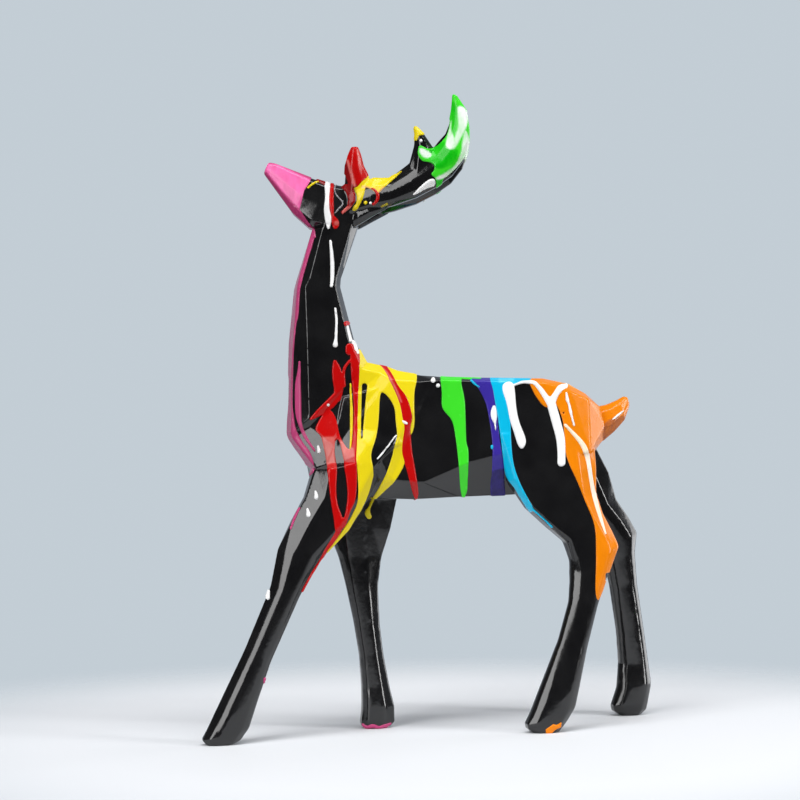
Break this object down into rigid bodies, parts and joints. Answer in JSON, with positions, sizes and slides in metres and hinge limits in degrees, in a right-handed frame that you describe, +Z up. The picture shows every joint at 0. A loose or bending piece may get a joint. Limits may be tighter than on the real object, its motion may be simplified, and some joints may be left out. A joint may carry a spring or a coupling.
{
  "type": "deer statue",
  "caption": "Standing faceted stag figure with its head raised and turned, one cast piece in gloss black with coloured paint drips; decorates a shelf or table.",
  "frame": {"origin": "on the surface that the statue stands on, under the middle of its box", "axes": "+Z up, -X the way that the body walks, -Y the figure's own left side"},
  "size_m": [0.274, 0.0714, 0.356],
  "materials": {
    "black_gloss_resin": "gloss black enamel over cast resin",
    "pink_paint": "gloss pink enamel, poured over the black",
    "red_paint": "gloss red enamel, poured over the black",
    "yellow_paint": "gloss yellow enamel, poured over the black",
    "green_paint": "gloss green enamel, poured over the black",
    "purple_paint": "gloss purple enamel, poured over the black",
    "blue_paint": "gloss sky blue enamel, poured over the black",
    "white_paint": "gloss white enamel, poured over the other colours",
    "orange_paint": "gloss orange enamel, poured over the black"
  },
  "bodies": {
    "root": {"deer_statue": "black_gloss_resin"}
  },
  "joints": []
}
